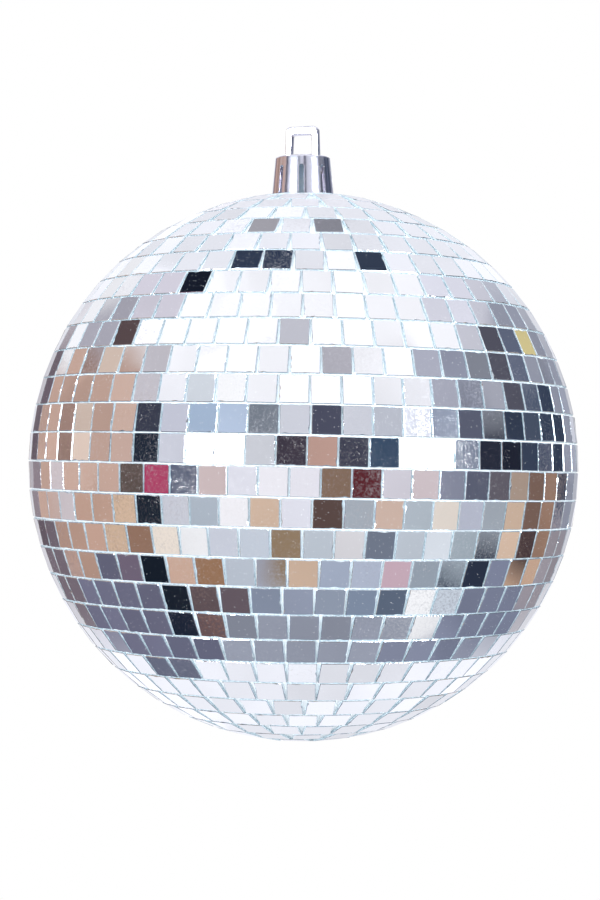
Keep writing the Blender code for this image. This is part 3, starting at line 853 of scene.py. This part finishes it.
def crownProfile(rimZ, topZ):  # (radius, height) from the rim up and over the top
    slope = (crown["rimRadius"] - crown["topRadius"]) / (topZ - rimZ)
    edge = crown["edgeRadius"]
    archZ = topZ - crown["slotBelowTop"]
    halfSlot = crown["slotWidth"] / 2
    steps, band, across = crown["arcSteps"], crown["bandSteps"], crown["topSteps"]
    quarter = math.pi / 2 / steps
    heights = [rimZ + crown["slotCorner"] * (1 - math.cos(quarter * i)) for i in range(steps + 1)]
    straight = archZ - halfSlot - heights[-1]
    heights += [heights[-1] + straight * (i + 1) / steps for i in range(steps)]
    heights += [archZ - halfSlot * (1 - math.sin(quarter * (i + 1))) for i in range(steps)]
    heights += [archZ + (topZ - edge - archZ) * (i + 1) / band for i in range(band)]
    profile = [(crown["rimRadius"] - slope * (height - rimZ), height) for height in heights]
    shoulder = profile[-1][0] - edge
    for i in range(1, steps + 1):
        profile.append((shoulder + edge * math.cos(quarter * i), topZ - edge + edge * math.sin(quarter * i)))
    profile += [(shoulder + (crown["holeRadius"] - shoulder) * (i + 1) / across, topZ) for i in range(across)]
    return profile


def halfSlotAt(height, rimZ, topZ):
    halfSlot, corner = crown["slotWidth"] / 2, crown["slotCorner"]
    archZ = topZ - crown["slotBelowTop"]
    if math.isclose(height, archZ, abs_tol=1e-7) or height > archZ:
        return 0.0
    if height > archZ - halfSlot:
        return math.sqrt(max(0.0, halfSlot**2 - (height - archZ + halfSlot) ** 2))
    if height < rimZ + corner:
        above = rimZ + corner - height
        return halfSlot + corner - math.sqrt(max(0.0, corner**2 - above**2))
    return halfSlot


def makeCrown():
    low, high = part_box("crown_cap")
    rimZ, topZ = low.z, high.z
    profile = crownProfile(rimZ, topZ)
    mesh = newMesh()
    columns, sector = crown["columns"], math.tau / crown["slots"]
    for leg in range(crown["slots"]):
        middle = -math.pi / 2 + crown["slotTurn"] + (leg + 0.5) * sector
        base = len(mesh["points"])
        for radius, height in profile:
            half = sector / 2 - halfSlotAt(height, rimZ, topZ) / radius
            for i in range(columns + 1):
                angle = middle + half * (2 * i / columns - 1)
                mesh["points"].append((radius * math.cos(angle), radius * math.sin(angle), height))
        for row in range(len(profile) - 1):
            for i in range(columns):
                corner = base + row * (columns + 1) + i
                mesh["faces"].append([corner, corner + 1, corner + columns + 2, corner + columns + 1])
    mesh["finish"] = [0] * len(mesh["faces"])
    mesh["tone"] = [platingTone] * len(mesh["faces"])
    cap = makeObject("crown", mesh, ("chromePlating",))
    weld = cap.modifiers.new("Weld", "WELD")
    weld.merge_threshold = crown["weld"]
    shell = cap.modifiers.new("Wall", "SOLIDIFY")
    shell.thickness, shell.offset = crown["wall"], -1
    shell.use_even_offset = True
    soften = cap.modifiers.new("SoftEdge", "BEVEL")
    soften.width, soften.segments = crown["softEdge"], crown["softSegments"]
    soften.limit_method, soften.angle_limit = "ANGLE", crown["softFrom"]
    smooth(cap)
    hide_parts("crown_cap")
    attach(cap, "hanger")


def smooth(obj):
    graph = bpy.context.evaluated_depsgraph_get()
    data = bpy.data.meshes.new_from_object(obj.evaluated_get(graph))
    obj.modifiers.clear()
    obj.data = data
    data.shade_smooth()
    data.set_sharp_from_angle(angle=sharpFrom)


loop = {
    "turn": math.radians(-20.0),
    "depth": 3.4 * millimetre,
    "width": 12.8 * millimetre,
    "topWidth": 12.2 * millimetre,
    "leg": 2.25 * millimetre,
    "topBar": 3.1 * millimetre,
    "footBar": 0.8 * millimetre,
    "corner": 1.8 * millimetre,
    "windowCorner": 0.7 * millimetre,
    "softEdge": 0.55 * millimetre,
    "softSegments": 5,
    "footCorner": 0.33 * millimetre,
    "footSteps": 5,
    "cornerSteps": 8,
    "weld": 0.002 * millimetre,
    "aboveCrown": 0.3 * millimetre,
    "spigotRadius": 2.0 * millimetre,
    "spigotSides": 48,
    "spigotChamfer": 0.35 * millimetre,
    "glueGroove": 0.2 * millimetre,
    "groovesAt": (0.3, 0.7),
}


def arcPoints(x, z, radius, start, end, count):
    angles = [math.radians(start + (end - start) * i / count) for i in range(count + 1)]
    return [(x + radius * math.cos(a), z + radius * math.sin(a)) for a in angles]


def uprightOutline(low, high, halfLow, halfHigh, corner, lowCorner):
    right = arcPoints(halfLow - lowCorner, low + lowCorner, lowCorner, -90, 0, loop["footSteps"])
    right += arcPoints(halfHigh - corner, high - corner, corner, 0, 90, loop["cornerSteps"])
    return right + [(-x, z) for x, z in reversed(right)]


def makeSpigot(low, high):  # the loop's pin, with two glue grooves and a chamfered foot
    radius, chamfer, groove = loop["spigotRadius"], loop["spigotChamfer"], loop["glueGroove"]
    profile = [(radius - chamfer, low), (radius, low + chamfer)]
    for share in loop["groovesAt"]:
        foot = low + (high - low) * share
        profile += [
            (radius, foot),
            (radius - groove, foot + groove),
            (radius - groove, foot + 3 * groove),
            (radius, foot + 4 * groove),
        ]
    profile.append((radius, high))
    sides = loop["spigotSides"]
    angles = [math.tau * i / sides for i in range(sides)]
    mesh = newMesh()
    for ringRadius, height in profile:
        mesh["points"] += [(ringRadius * math.cos(a), ringRadius * math.sin(a), height) for a in angles]
    for ring in range(len(profile) - 1):
        for i in range(sides):
            here, after = ring * sides + i, ring * sides + (i + 1) % sides
            mesh["faces"].append([here, after, after + sides, here + sides])
    top = (len(profile) - 1) * sides
    mesh["faces"] += [list(reversed(range(sides))), list(range(top, top + sides))]
    mesh["finish"] = [0] * len(mesh["faces"])
    mesh["tone"] = [platingTone] * len(mesh["faces"])
    spigot = makeObject("loop_spigot", mesh, ("chromePlating",))
    smooth(spigot)
    return spigot


def makeLoop():
    low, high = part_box("hanging_loop")
    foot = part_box("crown_cap")[1].z + loop["aboveCrown"]
    halfLow, halfHigh, leg = loop["width"] / 2, loop["topWidth"] / 2, loop["leg"]
    outer = uprightOutline(foot, high.z, halfLow, halfHigh, loop["corner"], loop["footCorner"])
    windowTop = high.z - loop["topBar"]
    corner = loop["windowCorner"]
    window = uprightOutline(foot + loop["footBar"], windowTop, halfLow - leg, halfHigh - leg, corner, corner)
    curve = bpy.data.curves.new("loop", "CURVE")
    curve.dimensions, curve.fill_mode = "2D", "BOTH"
    curve.extrude = loop["depth"] / 2 - loop["softEdge"]
    curve.bevel_depth, curve.bevel_resolution = loop["softEdge"], loop["softSegments"]
    curve.offset = -loop["softEdge"]
    for outline in (outer, window):
        spline = curve.splines.new("POLY")
        spline.points.add(len(outline) - 1)
        for point, (x, z) in zip(spline.points, outline):
            point.co = (x, z, 0, 1)
        spline.use_cyclic_u = True
    drawn = bpy.data.objects.new("loopOutline", curve)
    bpy.context.scene.collection.objects.link(drawn)
    data = bpy.data.meshes.new_from_object(drawn.evaluated_get(bpy.context.evaluated_depsgraph_get()))
    bpy.data.objects.remove(drawn)
    data.transform(Matrix.Rotation(loop["turn"], 4, "Z") @ Matrix.Rotation(math.pi / 2, 4, "X"))
    data.materials.clear()
    data.materials.append(finishes["chromePlating"])
    ring = bpy.data.objects.new("loop", data)
    bpy.context.scene.collection.objects.link(ring)
    weld = ring.modifiers.new("Weld", "WELD")
    weld.merge_threshold = loop["weld"]
    smooth(ring)
    tone = ring.data.attributes.new("tone", "FLOAT", "POINT").data
    tone.foreach_set("value", [platingTone] * len(ring.data.vertices))
    for piece in (ring, makeSpigot(low.z, foot)):
        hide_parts("hanging_loop")
        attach(piece, "hanger")


makeCrown()
makeLoop()
print("crown and loop made")


innerFinishes = {
    "core_upper_half": "corePlastic",
    "core_lower_half": "corePlastic",
    # the collar and the stem get the collar plastic, whose cyan tint is partly painted reflection
    "neck_collar": "collarPlasticPaintedGlint",
    "cap_stem": "collarPlasticPaintedGlint",
    "stem_clip": "clipSteel",
}

for nodeName, finishName in innerFinishes.items():
    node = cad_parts[nodeName]
    node.data.materials.clear()
    node.data.materials.append(finishes[finishName])
print("inner pieces finished")
